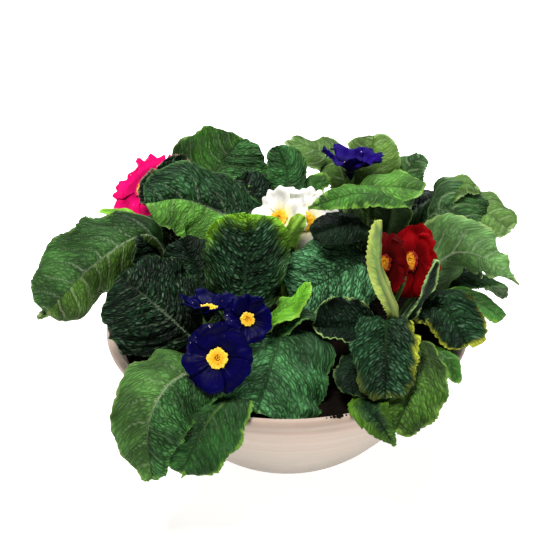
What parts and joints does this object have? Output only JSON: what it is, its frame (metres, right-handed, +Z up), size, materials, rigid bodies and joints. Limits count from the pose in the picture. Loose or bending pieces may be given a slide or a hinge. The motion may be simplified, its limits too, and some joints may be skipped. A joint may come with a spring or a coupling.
{
  "type": "potted primrose",
  "caption": "Low round stone-coloured bowl densely planted with garden primroses, their broad wrinkled leaves spilling over the rim and bright flowers among them.",
  "frame": {"origin": "centre of the bowl's flat foot, on the surface that it stands on", "axes": "+Z up, -Y towards the front of the planting, +X to the viewer's right"},
  "size_m": [0.3337, 0.3112, 0.1901],
  "materials": {
    "bowl": "matt, slightly sandy, with faint throwing rings",
    "soil": "damp crumbly compost",
    "leaf": "satin, wrinkled between the veins",
    "petal_pink": "velvety",
    "petal_blue": "velvety",
    "petal_white": "velvety",
    "petal_violet": "velvety",
    "petal_red": "velvety",
    "eye": "matt"
  },
  "bodies": {
    "root": {"bowl": "bowl", "soil": "soil", "leaves_pink": "leaf", "leaves_blue": "leaf", "leaves_white": "leaf", "leaves_violet": "leaf", "leaves_red": "leaf", "petals_pink_1": "petal_pink", "petals_blue_1": "petal_blue", "petals_blue_2": "petal_blue", "petals_blue_3": "petal_blue", "petals_white_1": "petal_white", "petals_white_2": "petal_white", "petals_violet_1": "petal_violet", "petals_red_1": "petal_red", "petals_red_2": "petal_red", "eye_pink_1": "eye", "eye_blue_1": "eye", "eye_blue_2": "eye", "eye_blue_3": "eye", "eye_white_1": "eye", "eye_white_2": "eye", "eye_violet_1": "eye", "eye_red_1": "eye", "eye_red_2": "eye"}
  },
  "joints": []
}
